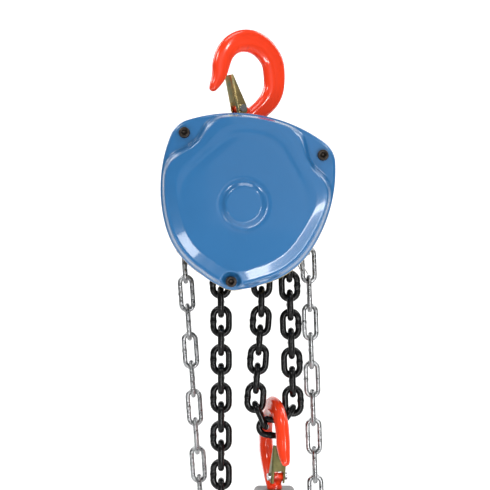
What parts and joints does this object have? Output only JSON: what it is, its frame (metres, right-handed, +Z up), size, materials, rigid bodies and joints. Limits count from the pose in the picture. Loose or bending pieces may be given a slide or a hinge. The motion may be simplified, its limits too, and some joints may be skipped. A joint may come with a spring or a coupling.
{
  "type": "hand chain hoist",
  "caption": "Hand-operated chain hoist that lifts by a geared load sheave and brake, with a top hook, a load chain carrying a swivelling bottom hook, and an endless hand chain.",
  "frame": {"origin": "saddle of the top hook, where the support bears, in the hook's middle plane", "axes": "+Z up when hanging; -Y towards the gear cover; +Y towards the hand wheel; +X to the right seen from the gear cover side"},
  "size_m": [0.1596, 0.1372, 0.5367],
  "materials": {
    "hook_paint": "gloss",
    "cover_paint": "gloss",
    "zinc_yellow": "yellow zinc",
    "latch_olive": "dark olive zinc",
    "black_chain": "black oxide, oiled",
    "galvanised": "galvanised",
    "black_oxide": "black oxide",
    "gear_steel": "machined, greased",
    "bright_steel": "bright",
    "cast_iron": "as cast",
    "friction_lining": "pressed lining"
  },
  "bodies": {
    "top_hook": {"top_hook": "hook_paint", "top_hook_nut": "bright_steel", "top_thrust_washer": "bright_steel", "top_latch_pin": "bright_steel"},
    "top_latch": {"top_latch": "zinc_yellow"},
    "top_yoke": {"top_yoke": "black_oxide"},
    "frame": {"gear_side_plate": "zinc_yellow", "wheel_side_plate": "zinc_yellow", "stay_bolts": "black_oxide", "top_pin": "bright_steel", "top_pin_clips": "bright_steel", "chain_anchor_pin": "bright_steel", "anchor_split_pin": "bright_steel", "gear_support_plate": "zinc_yellow", "support_pillars": "bright_steel", "support_screws": "black_oxide", "gear_cover": "cover_paint", "gear_cover_screws": "black_oxide", "hand_wheel_cover": "cover_paint", "wheel_cover_nuts": "bright_steel", "sheave_bearings": "bright_steel", "chain_guide": "cast_iron", "guide_roller_pins": "bright_steel", "pawl_pins": "bright_steel", "pawl_springs": "bright_steel", "load_chain_on_sheave": "black_chain", "hand_chain_on_wheel": "galvanised"},
    "drive": {"drive_shaft": "gear_steel", "brake_hub": "bright_steel", "friction_discs": "friction_lining", "hand_wheel": "cast_iron", "drive_shaft_nut": "bright_steel", "shaft_split_pin": "bright_steel"},
    "gear_left": {"intermediate_gear_left": "gear_steel"},
    "gear_right": {"intermediate_gear_right": "gear_steel"},
    "sheave": {"load_sheave": "cast_iron", "load_gear": "gear_steel", "load_gear_clip": "bright_steel"},
    "ratchet": {"ratchet_disc": "gear_steel"},
    "pawl_upper": {"pawl_upper": "gear_steel"},
    "pawl_lower": {"pawl_lower": "gear_steel"},
    "roller_left": {"guide_roller_left": "bright_steel"},
    "roller_right": {"guide_roller_right": "bright_steel"},
    "load_chain": {"load_chain_fall": "black_chain", "load_chain_slack": "black_chain", "bottom_yoke_front": "black_oxide", "bottom_yoke_back": "black_oxide", "bottom_yoke_bolts": "black_oxide", "bottom_yoke_nuts": "black_oxide", "load_pin": "bright_steel"},
    "bottom_hook": {"bottom_hook": "hook_paint", "bottom_hook_nut": "bright_steel", "bottom_latch_pin": "bright_steel"},
    "bottom_latch": {"bottom_latch": "latch_olive"},
    "hand_chain": {"hand_chain_left": "galvanised", "hand_chain_right": "galvanised"}
  },
  "joints": [
    {"name": "top_latch_hinge", "type": "hinge", "parent": "top_hook", "child": "top_latch", "pos_m": [-0.00737, -0.00443, -0.0546], "axis": [-0.515, 0.8572, 0], "range_deg": [0, 30], "stiffness_Nm_per_rad": 0.02, "springref_deg": -28.65},
    {"name": "top_swivel", "type": "hinge", "parent": "top_hook", "child": "top_yoke", "pos_m": [0, 0, -0.08], "axis": [0, 0, 1], "continuous": true},
    {"name": "frame_pivot", "type": "hinge", "parent": "top_yoke", "child": "frame", "pos_m": [0, 0, -0.098], "axis": [0, 1, 0], "range_deg": [-10, 10]},
    {"name": "hand_wheel_spin", "type": "hinge", "parent": "frame", "child": "drive", "pos_m": [-0.0025, 0, -0.145], "axis": [0, 1, 0], "continuous": true, "deforming": ["hand_chain_on_wheel"]},
    {"name": "gear_left_spin", "type": "hinge", "parent": "frame", "child": "gear_left", "pos_m": [-0.03951, 0, -0.13897], "axis": [0, 1, 0], "continuous": true},
    {"name": "gear_right_spin", "type": "hinge", "parent": "frame", "child": "gear_right", "pos_m": [0.03451, 0, -0.15103], "axis": [0, 1, 0], "continuous": true},
    {"name": "sheave_spin", "type": "hinge", "parent": "frame", "child": "sheave", "pos_m": [-0.0025, 0, -0.145], "axis": [0, 1, 0], "continuous": true, "deforming": ["load_chain_on_sheave"]},
    {"name": "ratchet_spin", "type": "hinge", "parent": "frame", "child": "ratchet", "pos_m": [-0.0025, 0, -0.145], "axis": [0, 1, 0], "continuous": true},
    {"name": "pawl_upper_hinge", "type": "hinge", "parent": "frame", "child": "pawl_upper", "pos_m": [-0.02193, 0, -0.11234], "axis": [0, 1, 0], "range_deg": [-20, 2.5], "stiffness_Nm_per_rad": 0.01, "springref_deg": 2.86},
    {"name": "pawl_lower_hinge", "type": "hinge", "parent": "frame", "child": "pawl_lower", "pos_m": [0.01693, 0, -0.17766], "axis": [0, 1, 0], "range_deg": [-20, 2.5], "stiffness_Nm_per_rad": 0.01, "springref_deg": 2.86},
    {"name": "roller_left_spin", "type": "hinge", "parent": "frame", "child": "roller_left", "pos_m": [-0.04117, 0, -0.166], "axis": [0, 1, 0], "continuous": true},
    {"name": "roller_right_spin", "type": "hinge", "parent": "frame", "child": "roller_right", "pos_m": [0.03357, 0, -0.16], "axis": [0, 1, 0], "continuous": true},
    {"name": "load_chain_swing", "type": "hinge", "parent": "frame", "child": "load_chain", "pos_m": [0, 0, -0.238], "axis": [1, 0, 0], "range_deg": [-10, 4]},
    {"name": "hand_chain_swing", "type": "hinge", "parent": "frame", "child": "hand_chain", "pos_m": [0, 0.051, -0.21425], "axis": [1, 0, 0], "range_deg": [-4, 12]},
    {"name": "bottom_hook_swivel", "type": "hinge", "parent": "load_chain", "child": "bottom_hook", "pos_m": [0.026, 0, -0.42], "axis": [0, 0, 1], "range_deg": [-8, 4]},
    {"name": "bottom_latch_hinge", "type": "hinge", "parent": "bottom_hook", "child": "bottom_latch", "pos_m": [0.02823, -0.00831, -0.3945], "axis": [-0.9659, -0.2588, 0], "range_deg": [0, 12], "stiffness_Nm_per_rad": 0.02, "springref_deg": -28.65}
  ],
  "couplings": [
    {"joint": "gear_left_spin", "follows": "hand_wheel_spin", "ratio": -0.31579},
    {"joint": "gear_right_spin", "follows": "hand_wheel_spin", "ratio": -0.31579},
    {"joint": "sheave_spin", "follows": "hand_wheel_spin", "ratio": 0.099723}
  ]
}
